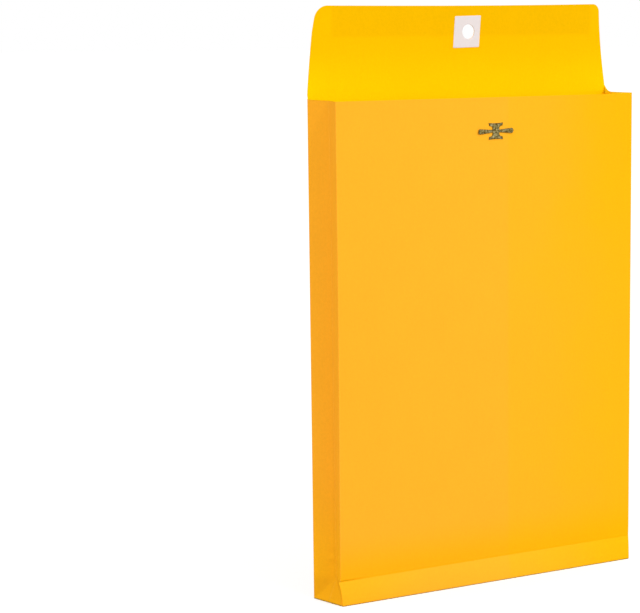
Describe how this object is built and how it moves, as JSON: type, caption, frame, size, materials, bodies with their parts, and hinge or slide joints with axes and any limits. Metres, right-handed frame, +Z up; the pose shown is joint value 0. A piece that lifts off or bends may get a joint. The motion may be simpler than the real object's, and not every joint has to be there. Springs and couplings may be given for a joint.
{
  "type": "paper envelope",
  "caption": "Kraft paper envelope with side gussets, standing open on its folded bottom, with a rounded top flap, a patched hole and a bendable metal clasp.",
  "frame": {"origin": "on the resting face, mid-width, midway between the front and back panels", "axes": "+Z up towards the flap, -Y out of the front panel with the clasp, +X to the right seen from the front"},
  "size_m": [0.2291, 0.0319, 0.3598],
  "materials": {
    "kraft_paper": "matt golden kraft paper",
    "patch_paper": "matt white reinforcing paper",
    "clasp_metal": "plated sheet steel"
  },
  "bodies": {
    "paper": {"envelope": "kraft_paper", "hole_patch": "patch_paper", "clasp_base": "clasp_metal"},
    "left_tongue": {"left_prong": "clasp_metal"},
    "right_tongue": {"right_prong": "clasp_metal"}
  },
  "joints": [
    {"name": "left_prong_bend", "type": "hinge", "parent": "paper", "child": "left_tongue", "pos_m": [0.0021, -0.01455, 0.2823], "axis": [0, 0, 1], "range_deg": [0, 90]},
    {"name": "right_prong_bend", "type": "hinge", "parent": "paper", "child": "right_tongue", "pos_m": [0.0077, -0.01455, 0.2823], "axis": [0, 0, -1], "range_deg": [0, 90]}
  ]
}
